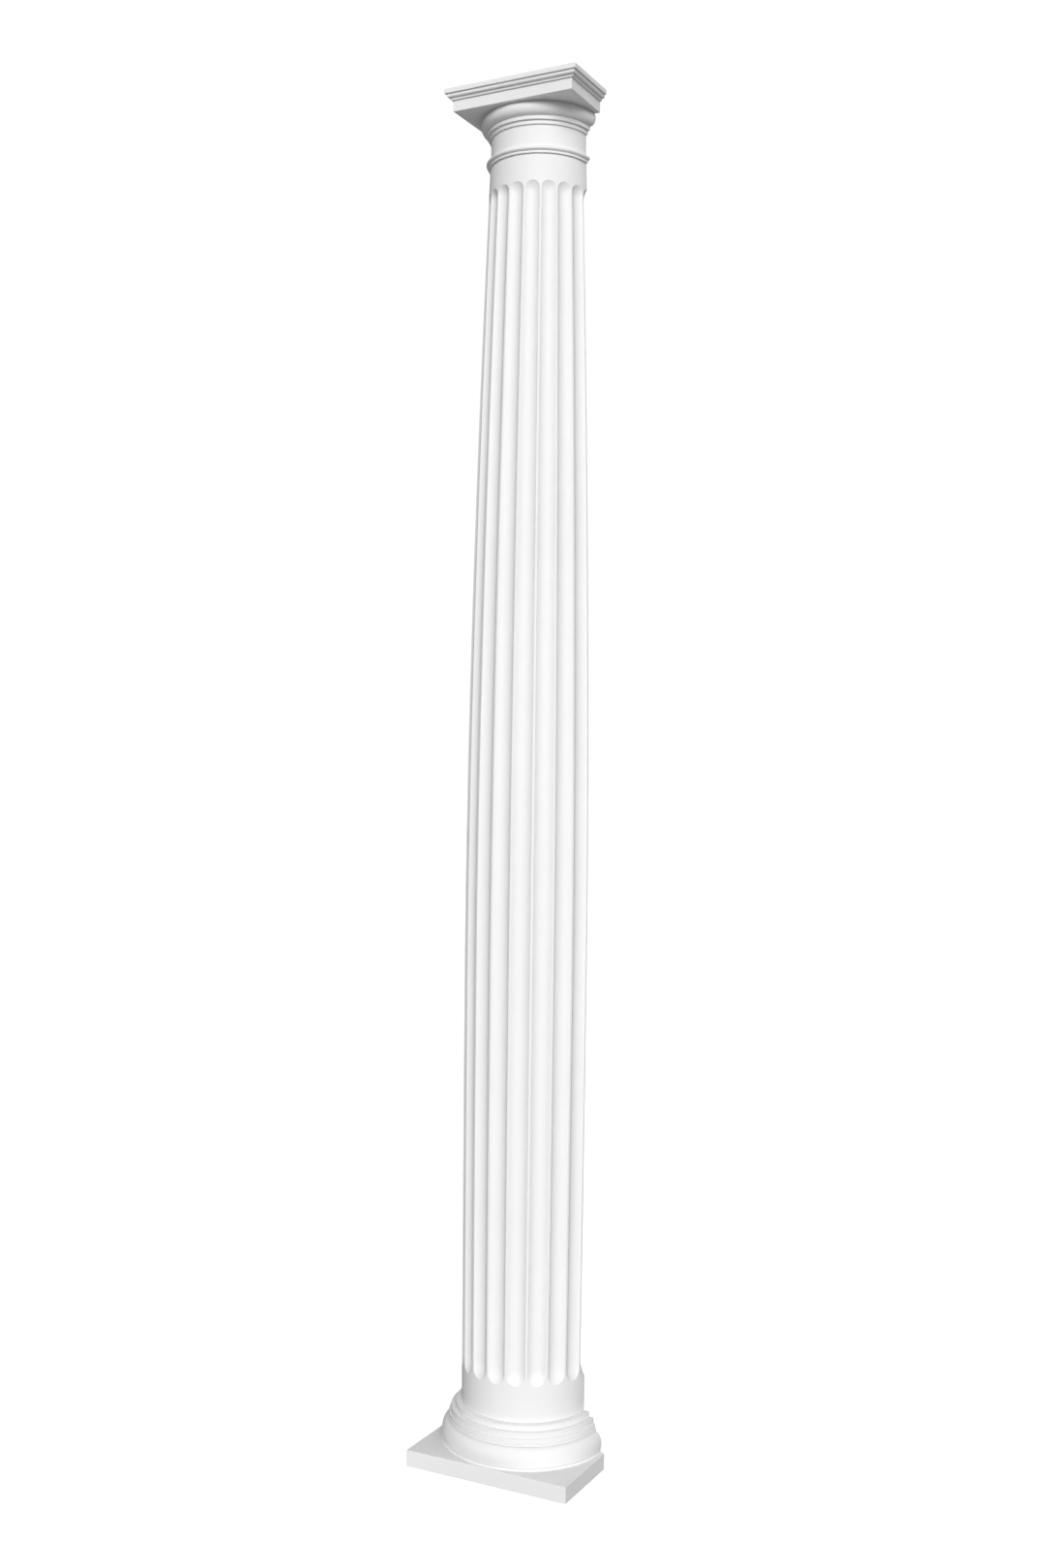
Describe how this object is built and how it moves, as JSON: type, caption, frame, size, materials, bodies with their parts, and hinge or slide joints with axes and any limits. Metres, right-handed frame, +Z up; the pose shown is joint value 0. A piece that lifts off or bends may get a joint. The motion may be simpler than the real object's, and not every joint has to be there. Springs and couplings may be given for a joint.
{
  "type": "fluted half column",
  "caption": "Half column for a wall: square half plinth with ringed round base, fluted tapering shaft and a capital with a square moulded top, flat at the back.",
  "frame": {"origin": "middle of the plinth's underside, at floor level", "axes": "+Z up along the column, -Y out of the wall towards the front, +Y into the wall, +X to the right for someone who faces the front"},
  "size_m": [0.325, 0.1624, 2.521],
  "materials": {
    "white_primer": "moulded rigid foam with a smooth matte white factory primer"
  },
  "bodies": {
    "root": {"half_base": "white_primer", "half_shaft": "white_primer", "half_capital": "white_primer"}
  },
  "joints": []
}
